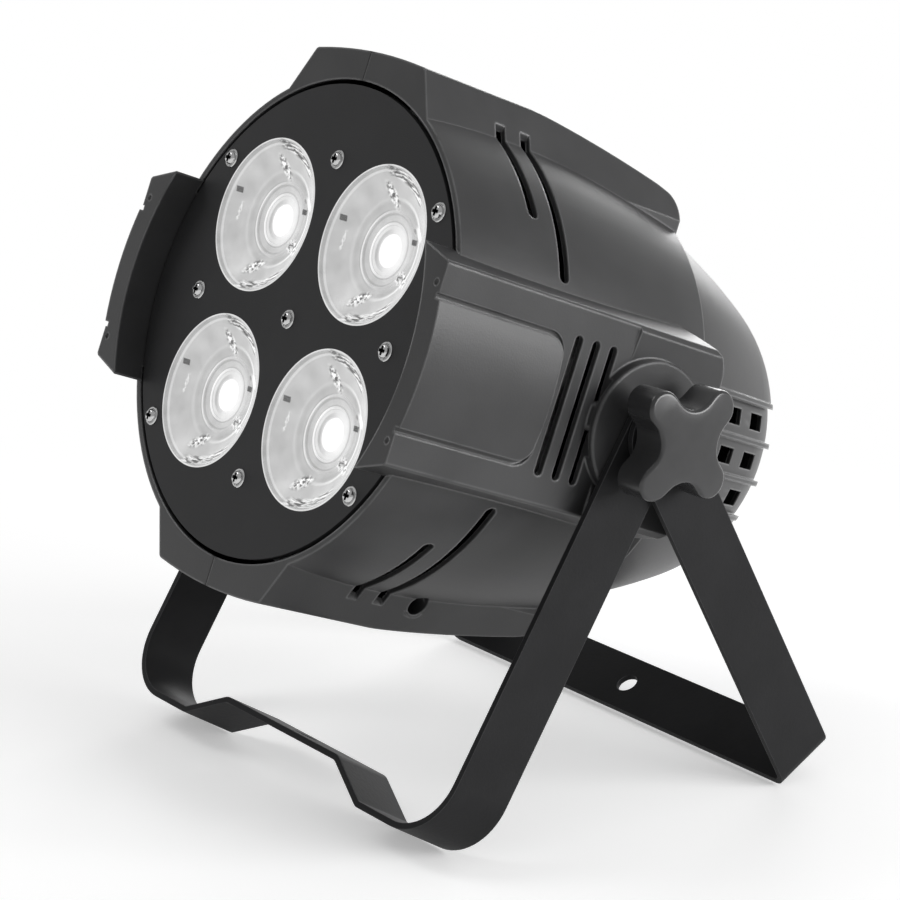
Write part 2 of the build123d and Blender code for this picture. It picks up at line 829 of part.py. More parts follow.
corner = (panel_r - panel_screw_inset) * cos(radians(45))
panel_screw_places = [(x * corner, z * corner) for x in (1, -1) for z in (1, -1)]

with BuildPart() as rear_cover:
    add(dome(0, cover_end))
    chamfer(
        rear_cover.edges().filter_by(GeomType.CIRCLE).group_by(Axis.Y)[-1], length=cover_edge
    )
    add(band_cut.part, mode=Mode.SUBTRACT)
    add(rails.part)
    add(cover_cavity.part, mode=Mode.SUBTRACT)
    with BuildSketch(across(flange_depth + cover_flange)):
        Circle(cover_neck_r + cover_flange_lap)
        Circle(cover_neck_r - wall, mode=Mode.SUBTRACT)
    extrude(amount=cover_flange)
    with BuildSketch(Plane.YZ):
        with Locations((y_at(shell_depth + vent_centre), 0)):
            with GridLocations(vent_pitch, 2 * band_half_height / 3, vent_count, 3):
                Rectangle(vent_length, vent_height)
    extrude(amount=2 * cover_neck_r, both=True, mode=Mode.SUBTRACT)
    cylinder_between(panel_r + panel_gap, panel_depth, cover_end, mode=Mode.SUBTRACT)
    cylinder_between(panel_r - panel_ledge, inner_end, cover_end, mode=Mode.SUBTRACT)
    with BuildSketch(across(panel_depth)):
        with Locations(*panel_screw_places):
            Circle(panel_screw_shank_r)
    extrude(amount=cover_end_wall, mode=Mode.SUBTRACT)
save(rear_cover, "rear_cover")

# ---- Rear panel, sockets, display and buttons ----

socket_places = {
    "data_in": (-socket_pitch[0] / 2, socket_z + socket_pitch[1] / 2),
    "data_out": (socket_pitch[0] / 2, socket_z + socket_pitch[1] / 2),
    "mains_in": (-socket_pitch[0] / 2, socket_z - socket_pitch[1] / 2),
    "mains_out": (socket_pitch[0] / 2, socket_z - socket_pitch[1] / 2),
}
socket_screw_places = [
    (x + side * socket_screw_offset[0], z + side * socket_screw_offset[1])
    for x, z in socket_places.values() for side in (1, -1)
]
button_places = [((index - 1.5) * button_pitch, button_z) for index in range(len(button_names))]
eye_screw_z = eye_z - (eye + eye_base) / 2
eye_screw_places = [(side * eye_screw_pitch / 2, eye_screw_z) for side in (1, -1)]
panel_face = cover_end

with BuildPart() as rear_panel:
    with BuildSketch(across(panel_face)):
        Circle(panel_r)
        with Locations(*socket_places.values()):
            Circle(socket_barrel_r + bolt_fit, mode=Mode.SUBTRACT)
        with Locations((0, window_z)):
            Rectangle(*window_size, mode=Mode.SUBTRACT)
        with Locations(*button_places):
            Circle(button_r + button_gap, mode=Mode.SUBTRACT)
        with Locations(*panel_screw_places, *socket_screw_places, *eye_screw_places):
            Circle(panel_screw_shank_r + bolt_fit, mode=Mode.SUBTRACT)
    extrude(amount=panel)
save(rear_panel, "rear_panel")


def screws(places, seat, length):
    """Small round-headed screws standing out of a face towards the rear."""
    with BuildPart() as form:
        with BuildSketch(across(seat + panel_screw_head)):
            with Locations(*places):
                Circle(panel_screw_r)
        extrude(amount=panel_screw_head)
        with BuildSketch(across(seat)):
            with Locations(*places):
                Circle(panel_screw_shank_r)
        extrude(amount=length)
    return form


save(screws(panel_screw_places, panel_face, panel_screw_length), "panel_screws")
save(screws(socket_screw_places, panel_face + socket_flange, panel_screw_length), "socket_screws")
save(screws(eye_screw_places, panel_face + eye, panel_screw_length), "eye_screws")


def socket(name, core_r):
    """Panel socket: square flange, round barrel and a mouth with a core, if it has one."""
    x, z = socket_places[name]
    mouth_floor = panel_face + socket_flange - socket_mouth
    with BuildPart() as form:
        with BuildSketch(across(panel_face + socket_flange)):
            with Locations((x, z)):
                RectangleRounded(*socket_size, socket_corner)
                with Locations(socket_screw_offset, (-socket_screw_offset[0], -socket_screw_offset[1])):
                    Circle(panel_screw_shank_r + bolt_fit, mode=Mode.SUBTRACT)
        extrude(amount=socket_flange)
        with BuildSketch(across(panel_face)):
            with Locations((x, z)):
                Circle(socket_barrel_r)
        extrude(amount=socket_length)
        with BuildSketch(across(panel_face + socket_flange)):
            with Locations((x, z)):
                Circle(socket_mouth_r)
                if core_r:
                    Circle(core_r, mode=Mode.SUBTRACT)
        extrude(amount=socket_mouth, mode=Mode.SUBTRACT)
        contacts = across(mouth_floor + pin_length)
        if name == "data_in":
            with BuildSketch(contacts):
                with Locations((x, z)):
                    with PolarLocations(pin_circle, 3, start_angle=-90 - 60, angular_range=240):
                        Circle(pin_r)
            extrude(amount=pin_length)
        elif name == "data_out":
            with BuildSketch(across(panel_face + socket_flange)):
                with Locations((x, z)):
                    with PolarLocations(pin_circle, 3, start_angle=30, angular_range=240):
                        Circle(pin_hole_r)
            extrude(amount=pin_length, mode=Mode.SUBTRACT)
        else:
            with BuildSketch(across(panel_face + socket_flange)):
                with Locations((x, z)):
                    with PolarLocations(pin_circle, 3, start_angle=90):
                        Rectangle(*mains_slot)
            extrude(amount=pin_length, mode=Mode.SUBTRACT)
    return form


save(socket("data_in", 0), "data_in_socket")
save(socket("data_out", socket_core_r), "data_out_socket")
save(socket("mains_in", mains_core_r), "mains_in_socket")
save(socket("mains_out", socket_core_r), "mains_out_socket")

board_face = panel_depth - control_gap

with BuildPart() as display_window:
    with BuildSketch(across(panel_face)):
        with Locations((0, window_z)):
            Rectangle(window_size[0] - 2 * bolt_fit, window_size[1] - 2 * bolt_fit)
    extrude(amount=panel)
    with BuildSketch(across(panel_depth)):
        with Locations((0, window_z)):
            Rectangle(window_size[0] + 2 * window_frame, window_size[1] + 2 * window_frame)
    extrude(amount=control_gap)
save(display_window, "display_window")

switch_height = control_gap - button_seat_gap - button_flange - button_travel - run_gap
with BuildPart() as control_board:
    with BuildSketch(across(board_face)):
        with Locations((0, control_z)):
            Rectangle(*control_size)
    extrude(amount=board)
    with BuildSketch(across(board_face + switch_height)):
        with Locations(*button_places):
            Rectangle(switch_size, switch_size)
    extrude(amount=switch_height)
    with BuildSketch(across(panel_depth)):
        with Locations(*[(side * control_post_place[0], control_post_place[1]) for side in (1, -1)]):
            Circle(control_post_r)
    extrude(amount=control_gap)
save(control_board, "control_board")

for button_name, place in zip(button_names, button_places):
    with BuildPart() as button:
        with BuildSketch(across(panel_face + button_proud)):
            with Locations(place):
                Circle(button_r)
        extrude(amount=button_proud + panel + button_seat_gap)
        chamfer(button.edges().group_by(Axis.Y)[-1], length=button_edge)
        with BuildSketch(across(panel_depth - button_seat_gap)):
            with Locations(place):
                Circle(button_flange_r)
        extrude(amount=button_flange)
    save(button, f"button_{button_name}")

with BuildPart() as safety_eye:
    with BuildSketch(across(panel_face + eye)):
        with Locations((0, eye_z)):
            Rectangle(eye_width, eye_base, align=(Align.CENTER, Align.MAX))
        with Locations(*eye_screw_places):
            Circle(panel_screw_shank_r + bolt_fit, mode=Mode.SUBTRACT)
    extrude(amount=eye)
    with BuildSketch(Plane.XY.offset(eye_z - eye)):
        with Locations((0, y_at(panel_face))):
            Rectangle(eye_width, eye_reach, align=(Align.CENTER, Align.MIN))
        with Locations((0, y_at(panel_face + eye_reach))):
            Circle(eye_width / 2)
            Circle(eye_hole_r, mode=Mode.SUBTRACT)
    extrude(amount=eye)
save(safety_eye, "safety_eye")

# ---- Tilt pivot: insert, washers, knob and bolt on each side ----


def washers(start, thickness, radius):
    """One washer on each side of the head, from a distance along the tilt axis outward."""
    with BuildPart() as form:
        with BuildSketch(Plane.YZ.offset(start)):
            Circle(radius)
            Circle(bolt_r + run_gap, mode=Mode.SUBTRACT)
        extrude(amount=thickness)
        mirror(about=Plane.YZ)
    return form


save(washers(boss_face, washer, washer_r), "boss_washers")
save(washers(front_arm + strip, washer, washer_r), "arm_washers", FRONT_LEGS)

with BuildPart() as pivot_insert:
    with BuildSketch(Plane.YZ.offset(boss_face - insert_length)):
        Circle(insert_r)
        Circle(bolt_r + bolt_fit, mode=Mode.SUBTRACT)
    extrude(amount=insert_length)

with BuildPart() as knob_bolt:
    with BuildSketch(Plane.YZ.offset(boss_face - bolt_reach)):
        Circle(bolt_r)
    extrude(amount=knob_back - boss_face + bolt_reach)
    with BuildSketch(Plane.YZ.offset(knob_back)):
        RegularPolygon(bolt_head_r, 6)
    extrude(amount=bolt_head)

with BuildPart() as knob:
    with BuildSketch(Plane.YZ.offset(knob_back)) as star:
        SlotOverall(2 * knob_tip_r, knob_lobe, rotation=45)
        SlotOverall(2 * knob_tip_r, knob_lobe, rotation=-45)
        fillet(star.vertices().sort_by_distance((0, 0))[:4], radius=knob_valley_r)
    extrude(amount=knob_thick)
    chamfer(knob.faces().sort_by(Axis.X)[-1].edges(), length=knob_edge)
    with BuildSketch(Plane.YZ.offset(knob_back)):
        RegularPolygon(bolt_head_r + bolt_fit, 6)
    extrude(amount=bolt_head + bolt_fit, mode=Mode.SUBTRACT)

with BuildPart() as knob_washer_ring:
    with BuildSketch(Plane.YZ.offset(knob_washer_face)):
        Circle(knob_washer_r)
        Circle(bolt_r + bolt_fit, mode=Mode.SUBTRACT)
    extrude(amount=knob_washer)

turned = HEAD * Location((0, 0, 0), (knob_turn, 0, 0))
for piece, name in (
    (pivot_insert, "pivot_insert"), (knob_bolt, "knob_bolt"),
    (knob, "knob"), (knob_washer_ring, "knob_washer"),
):
    save(piece, f"{name}_right", turned)
    with BuildPart() as mirrored:
        mirror(piece.part, about=Plane.YZ)
    save(mirrored, f"{name}_left", turned)

# ---- Brackets, modelled hanging straight down from the tilt axis ----


def bracket(outer_x, foot, radii):
    """Bent strip: two legs with rounded ends and the foot's points between them."""
    end_z = strip_width / 2
    mirrored_foot = [(-x, z) for x, z in reversed(foot)]
    with BuildPart() as form:
        with BuildSketch(Plane.XZ.offset(-strip_width / 2)):
            with BuildLine():
                FilletPolyline(
                    (outer_x, end_z), (outer_x, -leg), *foot, *mirrored_foot,
                    (-outer_x, -leg), (-outer_x, end_z), radius=radii,
                )
                offset(amount=strip, side=Side.RIGHT)
            make_face()
        extrude(amount=strip_width)
        fillet(form.edges().filter_by(Axis.X).group_by(Axis.Z)[-1], radius=end_z - 0.01)
        with BuildSketch(Plane.YZ.offset(-outer_x)):
            Circle(bolt_r + bolt_fit)
        extrude(amount=2 * outer_x, mode=Mode.SUBTRACT)
    return form


stepped_foot = [(foot_inner, -leg), (step_inner, step_rise - leg)]
with BuildPart() as front_bracket:
    add(bracket(
        front_arm + strip, stepped_foot, [front_bend] + 4 * [step_bend] + [front_bend]
    ).part)
    with BuildSketch(Plane.XY.offset(-leg)):
        Circle(front_hole_r)
    extrude(amount=step_rise + strip, mode=Mode.SUBTRACT)
save(front_bracket, "front_bracket", FRONT_LEGS)

with BuildPart() as rear_bracket:
    add(bracket(rear_arm + strip, [], [rear_bend] * 2).part)
    with BuildSketch(Plane.XY.offset(-leg)):
        Circle(rear_hole_r)
    extrude(amount=strip, mode=Mode.SUBTRACT)
save(rear_bracket, "rear_bracket", REAR_LEGS)

# ---- Export, with the footprint's middle brought to the origin ----

front_y = min(piece.bounding_box().min.Y for piece in pieces.values())
rear_y = max(piece.bounding_box().max.Y for piece in pieces.values())
centred = Location((0, -(front_y + rear_y) / 2, 0))

os.makedirs("parts", exist_ok=True)
for name, piece in pieces.items():
    piece = piece.moved(centred)
    piece.label = name
    export_step(piece, f"parts/{name}.step")
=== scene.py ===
import bmesh
import bpy
import json
from math import atan2, cos, degrees, pi, radians, sin
from mathutils import Matrix, Vector


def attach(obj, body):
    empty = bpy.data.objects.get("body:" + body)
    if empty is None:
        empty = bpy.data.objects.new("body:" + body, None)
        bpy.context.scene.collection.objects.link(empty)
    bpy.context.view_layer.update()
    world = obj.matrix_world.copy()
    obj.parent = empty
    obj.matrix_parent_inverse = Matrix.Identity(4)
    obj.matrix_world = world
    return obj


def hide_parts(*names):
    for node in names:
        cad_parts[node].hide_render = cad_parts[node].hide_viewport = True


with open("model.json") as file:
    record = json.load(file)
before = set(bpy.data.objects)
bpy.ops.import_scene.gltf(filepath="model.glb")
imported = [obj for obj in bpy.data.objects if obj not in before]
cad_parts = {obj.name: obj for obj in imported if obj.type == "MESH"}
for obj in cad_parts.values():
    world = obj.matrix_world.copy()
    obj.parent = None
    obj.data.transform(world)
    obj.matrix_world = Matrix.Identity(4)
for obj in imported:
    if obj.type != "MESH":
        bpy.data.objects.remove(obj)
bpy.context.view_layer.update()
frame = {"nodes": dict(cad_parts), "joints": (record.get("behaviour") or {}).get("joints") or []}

# ---- Camera ----
# A long lens a good metre away on the lamp's front right, a little above it, so that the
# lenses, one flank and both brackets show and the upright edges hardly lean.
scene = bpy.context.scene
camera = bpy.data.objects.new("camera", bpy.data.cameras.new("camera"))
camera.location = (0.8835, -0.6880, 0.4245)
camera.rotation_euler = (radians(75.149), radians(-1.628), radians(53.004))
camera.data.lens = 112.43
camera.data.sensor_width = 36.0
camera.data.clip_start = 0.05
camera.data.clip_end = 40.0
scene.collection.objects.link(camera)
scene.camera = camera

# ---- Studio ----
# A white sweep of paper under the lamp, a surround that is white behind it and darker
# before it, and three soft boxes that draw long highlights along the black shell.
scene.view_settings.view_transform = "Standard"


class Value:
    """One output inside a material, used like a number: sums on it add Math nodes."""

    def __init__(self, tree, socket=None):
        self.tree = tree
        self.socket = socket

    def node(self, kind, settings=None, inputs=None, output=0):
        """Adds a shader node, applies its settings, fills its inputs, gives one output."""
        made = self.tree.nodes.new("ShaderNode" + kind)
        for key, setting in (settings or {}).items():
            setattr(made, key, setting)
        for key, value in (inputs or {}).items():
            self.feed(made.inputs[key], value)
        return Value(self.tree, made.outputs[output]) if made.outputs else None

    def feed(self, socket, value):
        """Links a Value to a socket, or sets anything else as the socket's own value."""
        if isinstance(value, Value):
            self.tree.links.new(value.socket, socket)
        else:
            socket.default_value = value

    def math(self, operation, first, second=0.0):
        return self.node("Math", {"operation": operation}, {0: first, 1: second})

    def __add__(self, other):
        return self.math("ADD", self, other)

    __radd__ = __add__

    def __sub__(self, other):
        return self.math("SUBTRACT", self, other)

    def __rsub__(self, other):
        return self.math("SUBTRACT", other, self)

    def __mul__(self, other):
        return self.math("MULTIPLY", self, other)

    __rmul__ = __mul__

    def __truediv__(self, other):
        return self.math("DIVIDE", self, other)

    def abs(self):
        return self.math("ABSOLUTE", self)

    def ramp(self, low, high):
        """0 below low, 1 above high, smooth between them."""
        settings = {"interpolation_type": "SMOOTHSTEP"}
        places = {"Value": self, "From Min": low, "From Max": high}
        return self.node("MapRange", settings, places)

    def mix(self, low, high):
        """A colour between two, by this value."""
        return self.node("Mix", {"data_type": "RGBA"}, {0: self, 6: low, 7: high}, output=2)


def shader_tree(owner):
    """A cleared node tree on a material or the world, as a Value without a socket."""
    owner.use_nodes = True
    owner.node_tree.nodes.clear()
    return Value(owner.node_tree)


def grey(level):
    """A neutral colour, black at 0 and white at 1."""
    return (level, level, level, 1.0)


def light_paths(root):
    """Masks for what the eye sees straight, what gloss mirrors and what glass shows."""
    return [root.node("LightPath", output=index) for index in (0, 3, 6)]


# The paper holds the lamp's shadow near it and turns to plain white farther out
paper = bpy.data.materials.new("white paper")
shadow_start, shadow_end = 0.20, 0.55
root = shader_tree(paper)
eye, glossy, through = light_paths(root)
seen = root.math("MAXIMUM", eye, root.math("MAXIMUM", glossy, through))
unseen = root.node("BsdfDiffuse", inputs={"Color": grey(0.80)})
near = root.node("AddShader", inputs={
    0: root.node("BsdfDiffuse", inputs={"Color": grey(0.93)}),
    1: root.node("Emission", inputs={"Color": grey(1.0), "Strength": 0.34})})
white = root.node("Emission", inputs={"Color": grey(1.0), "Strength": 1.0})
away = root.node(
    "VectorMath", {"operation": "LENGTH"}, {0: root.node("TexCoord", output=3)}, output=1)
fade = away.ramp(shadow_start, shadow_end)
shown = root.node("MixShader", inputs={0: fade, 1: near, 2: white})
surface = root.node("MixShader", inputs={0: seen, 1: unseen, 2: shown})
root.node("OutputMaterial", inputs={"Surface": surface})

floor_mesh = bpy.data.meshes.new("floor")
reach, drop = 14.0, 0.0004       # half the sweep's width, and its clearance under the feet
floor_mesh.from_pydata(
    [(-reach, -reach, -drop), (reach, -reach, -drop), (reach, reach, -drop),
     (-reach, reach, -drop)],
    [], [(0, 1, 2, 3)],
)
floor = bpy.data.objects.new("floor", floor_mesh)
floor_mesh.materials.append(paper)
scene.collection.objects.link(floor)

# Gloss mirrors a surround that is white at the horizon and dark higher up
world = bpy.data.worlds.new("surround")
scene.world = world
dusk_start, dusk_end, dusk = 0.02, 0.24, 0.88
root = shader_tree(world)
eye, glossy, through = light_paths(root)
height = root.node("SeparateXYZ", inputs={0: root.node("TexCoord", output=0)}, output=2)
mirrored = glossy * (1.0 - height.ramp(dusk_start, dusk_end) * dusk)
seen = root.math("MAXIMUM", eye, root.math("MAXIMUM", mirrored, through))
ambient = root.node("Background", inputs={"Color": grey(1.0), "Strength": 0.42})
white = root.node("Background", inputs={"Color": grey(1.0), "Strength": 1.0})
surface = root.node("MixShader", inputs={0: seen, 1: ambient, 2: white})
root.node("OutputWorld", inputs={"Surface": surface})

lit_height = 0.14                # what the soft boxes point at, above the floor
for name, place, width, tall, power in (
    ("key", (-1.1, -1.0, 2.0), 1.0, 1.0, 10.0),
    ("side", (1.30, 0.78, 0.50), 1.0, 0.6, 17.0),
    ("low rear", (-1.32, 1.95, 0.68), 1.0, 0.8, 13.5),
):
    lamp = bpy.data.objects.new(name, bpy.data.lights.new(name, "AREA"))
    lamp.data.energy = power
    lamp.data.shape = "RECTANGLE"
    lamp.data.size = width
    lamp.data.size_y = tall
    lamp.location = place
    toward = Vector((0.0, 0.0, lit_height)) - Vector(place)
    lamp.rotation_euler = toward.to_track_quat("-Z", "Y").to_euler()
    lamp.visible_camera = False
    scene.collection.objects.link(lamp)

# ---- Head shell and rear cover ----
# Two halves moulded in black nylon and a vented rear cover, spark-eroded to a fine satin
# grain. The edges are softened and painted lighter as a highlight, and a fine seam runs
# down the middle where the halves meet.


def finish(name, colour, roughness, grain=0.0, grain_scale=1500.0, mottle=0.1, edge=0.0,
           edge_highlight=None, seam=False, **more):
    """Material with a slightly uneven colour and gloss, and a fine grain.

    edge is the radius to which its edges are softened; a colour given for the edges paints
    them lighter, a painted highlight. seam draws a dark joint down the lamp's middle, in a
    material with such lightened edges.
    """
    material = bpy.data.materials.new(name)
    root = shader_tree(material)
    place = root.node("TexCoord", output=3)
    cloud = root.node("TexNoise", inputs={"Vector": place, "Scale": 38.0, "Detail": 4.0})
    speck = root.node(
        "TexNoise", inputs={"Vector": place, "Scale": grain_scale, "Detail": 2.0})
    darker = (*[c * (1 - mottle) for c in colour], 1.0)
    lighter = (*[min(c * (1 + mottle), 1.0) for c in colour], 1.0)
    tint = cloud.ramp(0.3, 0.7).mix(darker, lighter)
    gloss = roughness + (cloud - 0.5) * 0.08 + (speck - 0.5) * 0.06
    height = speck
    normal = None
    if edge:
        normal = root.node("Bevel", {"samples": 6}, {"Radius": edge})
    if edge_highlight:
        flat = root.node("NewGeometry", output=1)
        turn = root.node(
            "VectorMath", {"operation": "DOT_PRODUCT"}, {0: normal, 1: flat}, output=1)
        # Painted highlight: edges lighter where the softened normal turns from the flat one
        edge_glint = (1.0 - turn.ramp(0.93, 0.998)) * cloud.ramp(0.20, 0.50)
        if seam:
            across = root.node("SeparateXYZ", inputs={0: place}).abs()
            edge_glint = edge_glint * across.ramp(0.0012, 0.0028)
        tint = edge_glint.mix(tint, (*edge_highlight, 1.0))
        gloss = gloss - edge_glint * 0.18
    if seam:
        gap = 1.0 - across.ramp(0.00010, 0.00040)
        tint = gap.mix(tint, grey(0.004))
        height = speck - gap * 3.0
    inputs = {"Base Color": tint, "Roughness": gloss}
    inputs.update(more)
    if grain:
        bump = {"Height": height, "Strength": grain, "Distance": 0.0002}
        if normal:
            bump["Normal"] = normal
        normal = root.node("Bump", inputs=bump)
    if normal:
        inputs["Normal"] = normal
    bsdf = root.node("BsdfPrincipled", inputs=inputs)
    root.node("OutputMaterial", inputs={"Surface": bsdf})
    return material


def dress(material, *names):
    """Gives CAD nodes a material."""
    for name in names:
        for place in frame["nodes"][name].material_slots:
            place.material = material


for name, seam, nodes in (
    ("moulded shell", True, ("housing_right", "housing_left")),
    ("moulded cover", False, ("rear_cover",)),
):
    nylon = finish(
        name, (0.040, 0.040, 0.041), 0.36, grain=0.20, edge=0.0013,
        edge_highlight=(0.18, 0.18, 0.182), seam=seam, **{"Specular IOR Level": 0.40},
    )
    dress(nylon, *nodes)

# ---- Front plate ----
# A flat aluminium disc, turned and painted matt black. Nine screws pull it against the
# optics and hold it to the standoffs behind it.
plate_black = finish(
    "matt paint", (0.021, 0.021, 0.022), 0.60, grain=0.35, grain_scale=2200.0, edge=0.0003,
    **{"Specular IOR Level": 0.3},
)
dress(plate_black, "front_plate")

# ---- Screws ----
# Pan heads with a cross recess, chrome plated and flanged on the plate and black oxide on
# the rear. One screw is turned to shape, then set in each of its places on the lamp.
joints = {joint["name"]: joint for joint in frame["joints"]}
pivot = Vector(joints["front_bracket_swing"]["pos_m"])
lamp_axis = Vector(joints["fan_spin"]["axis"])
tilt = atan2(-lamp_axis.z, lamp_axis.y)
# From a level lamp, in metres, to its place in the part: x right, y behind the tilt axis,
# z up. The two turns face a form made on +Z to the front and to the rear.
HEAD = Matrix.Translation(pivot) @ Matrix.Rotation(-tilt, 4, "X")
FRONTWARD = (pi / 2 - tilt, 0.0, 0.0)
REARWARD = (-pi / 2 - tilt, 0.0, 0.0)


def head_shape(name, profile, socket, depth, corners):
    """One screw head on +Z, turned to a profile, with a recess of rim socket(angle)."""
    steps = 6 * corners
    flare, rim_depth, taper, pit_depth = 1.08, 0.12, 0.93, 1.15
    angles = [2 * pi * k / steps for k in range(steps)]
    height = profile[-1][1]
    rings = [[(r, z) for a in angles] for r, z in profile]
    rings.append([(socket(a) * flare, height) for a in angles])
    rings.append([(socket(a), height - depth * rim_depth) for a in angles])
    rings.append([(socket(a) * taper, height - depth) for a in angles])
    form = bmesh.new()
    shade = form.verts.layers.float.new("Recess")
    rows = []
    for number, ring in enumerate(rings):
        rows.append([
            form.verts.new((r * cos(a), r * sin(a), z)) for (r, z), a in zip(ring, angles)
        ])
        for vertex in rows[-1]:
            vertex[shade] = 1.0 if number > len(profile) else 0.0
    foot = form.verts.new((0.0, 0.0, 0.0))
    pit = form.verts.new((0.0, 0.0, height - depth * pit_depth))
    pit[shade] = 1.0
    for k in range(steps):
        after = (k + 1) % steps
        for low, high in zip(rows, rows[1:]):
            form.faces.new((low[k], low[after], high[after], high[k]))
        form.faces.new((rows[-1][k], rows[-1][after], pit))
        form.faces.new((rows[0][after], rows[0][k], foot))
    bmesh.ops.recalc_face_normals(form, faces=form.faces)
    mesh = bpy.data.meshes.new(name)
    form.to_mesh(mesh)
    form.free()
    for polygon in mesh.polygons:
        polygon.use_smooth = True
    mesh.set_sharp_from_angle(angle=radians(38))
    return bpy.data.objects.new(name, mesh)


def cross(arm, half_width):
    """Rim of a cross recess, by angle, from an arm's length and half its width."""
    def rim(a):
        side = abs((a + pi / 4) % (pi / 2) - pi / 4)
        return min(arm / cos(side), half_width / max(sin(side), 1e-6))
    return rim


def in_row(name, head, places, turn, material):
    """Sets a head at places, all turned alike, and returns one mesh object of them."""
    tree = bpy.data.node_groups.new(name + " places", "GeometryNodeTree")
    tree.interface.new_socket("Geometry", in_out="INPUT", socket_type="NodeSocketGeometry")
    sizes = {}
    for title, kind in (("Head", "Object"), ("Turn", "Vector"), ("Scale", "Float"),
                        ("Finish", "Material")):
        made = tree.interface.new_socket(
            title, in_out="INPUT", socket_type="NodeSocket" + kind)
        sizes[title] = made.identifier
    tree.interface.new_socket("Geometry", in_out="OUTPUT", socket_type="NodeSocketGeometry")
    given = tree.nodes.new("NodeGroupInput")
    shape = tree.nodes.new("GeometryNodeObjectInfo")
    points = tree.nodes.new("GeometryNodeMeshToPoints")
    spread = tree.nodes.new("GeometryNodeInstanceOnPoints")
    real = tree.nodes.new("GeometryNodeRealizeInstances")
    coat = tree.nodes.new("GeometryNodeSetMaterial")
    done = tree.nodes.new("NodeGroupOutput")
    for source, target in (
        (given.outputs["Geometry"], points.inputs["Mesh"]),
        (points.outputs["Points"], spread.inputs["Points"]),
        (given.outputs["Head"], shape.inputs["Object"]),
        (shape.outputs["Geometry"], spread.inputs["Instance"]),
        (given.outputs["Turn"], spread.inputs["Rotation"]),
        (given.outputs["Scale"], spread.inputs["Scale"]),
        (spread.outputs["Instances"], real.inputs["Geometry"]),
        (real.outputs["Geometry"], coat.inputs["Geometry"]),
        (given.outputs["Finish"], coat.inputs["Material"]),
        (coat.outputs["Geometry"], done.inputs["Geometry"]),
    ):
        tree.links.new(source, target)
    seeds = bpy.data.meshes.new(name + " seeds")
    seeds.from_pydata([HEAD @ Vector(place) for place in places], [], [])
    carrier = bpy.data.objects.new(name + " seeds", seeds)
    scene.collection.objects.link(carrier)
    scene.collection.objects.link(head)
    modifier = carrier.modifiers.new("row", "NODES")
    modifier.node_group = tree
    modifier[sizes["Head"]] = head
    modifier[sizes["Turn"]] = turn
    modifier[sizes["Scale"]] = 1.0
    modifier[sizes["Finish"]] = material
    ready = carrier.evaluated_get(bpy.context.evaluated_depsgraph_get())
    mesh = bpy.data.meshes.new_from_object(ready)
    mesh.name = name
    piece = bpy.data.objects.new(name, mesh)
    scene.collection.objects.link(piece)
    for spent in (carrier, head):
        bpy.data.objects.remove(spent)
    return piece


pivot_depth = 0.100              # front plate's face to the tilt axis
plate_r = 0.0944
cross_reach = plate_r - 0.0299   # the four screws between the lenses
corner_reach = plate_r - 0.0055  # the four at the plate's edge
corner = radians(38.0)
plate_places = [(0.0, -pivot_depth, 0.0)]
for turn in range(4):
    angle = turn * pi / 2
    plate_places.append((cross_reach * cos(angle), -pivot_depth, cross_reach * sin(angle)))
for x, z in ((1, 1), (1, -1), (-1, 1), (-1, -1)):
    plate_places.append(
        (x * corner_reach * cos(corner), -pivot_depth, z * corner_reach * sin(corner)))

chrome = bpy.data.materials.new("chrome plate")
root = shader_tree(chrome)
place = root.node("TexCoord", output=3)
haze = root.node("TexNoise", inputs={"Vector": place, "Scale": 900.0, "Detail": 3.0})
recess_shade = root.node("Attribute", {"attribute_name": "Recess"}, output=2)
# The cross recess is painted near black, a painted shade
tint = recess_shade.mix(haze.mix(grey(0.50), grey(0.66)), grey(0.015))
bsdf = root.node("BsdfPrincipled", inputs={
    "Base Color": tint, "Metallic": 1.0, "Roughness": 0.10 + haze * 0.10 + recess_shade * 0.4})
root.node("OutputMaterial", inputs={"Surface": bsdf})

flanged = [                      # radius and height of the plate screws' heads
    (0.00385, 0.0), (0.00385, 0.0003), (0.0036, 0.0006), (0.0032, 0.0006), (0.0029, 0.0003),
    (0.0028, 0.0008), (0.0026, 0.0014), (0.0022, 0.0019), (0.0019, 0.0021),
]
head = head_shape("plate screw", flanged, cross(arm=0.00175, half_width=0.00060),
                  depth=0.0016, corners=8)
plate_screws = in_row("plate_screw_heads", head, plate_places, FRONTWARD, chrome)
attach(plate_screws, "head")
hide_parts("plate_screws")

button_head = [                  # radius and height of the rear screws' heads
    (0.0023, 0.0), (0.0023, 0.0004), (0.0022, 0.0007), (0.0020, 0.0010), (0.0017, 0.0012)]
screw_black = finish("black oxide", (0.05, 0.05, 0.052), 0.34, edge=0.0002, Metallic=1.0)
panel_face = 0.216 - pivot_depth
flange_face = panel_face + 0.002          # of the sockets and the eye
panel_reach = 0.0516 * cos(pi / 4)        # the panel's four screws
socket_x, socket_z, socket_half_pitch = 0.015, -0.009, 0.01675
screw_x, screw_z = 0.0096, 0.0122         # a socket's screws from its middle
eye_x, eye_z = 0.006, -0.0483
panel_places = [
    (x * panel_reach, panel_face, z * panel_reach) for x in (1, -1) for z in (1, -1)]
flange_places = [
    (x * socket_x + side * screw_x, flange_face,
     socket_z + z * socket_half_pitch + side * screw_z)
    for z in (1, -1) for x in (-1, 1) for side in (1, -1)
]
eye_places = [(x * eye_x, flange_face, eye_z) for x in (1, -1)]
for name, places in (
    ("panel_screws", panel_places),
    ("socket_screws", flange_places),
    ("eye_screws", eye_places),
):
    head = head_shape(name, button_head, cross(arm=0.0014, half_width=0.0004),
                      depth=0.0008, corners=8)
    row = in_row(name[:-1] + "_heads", head, places, REARWARD, screw_black)
    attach(row, "head")
    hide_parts(name)
dress(screw_black, "shell_screws")
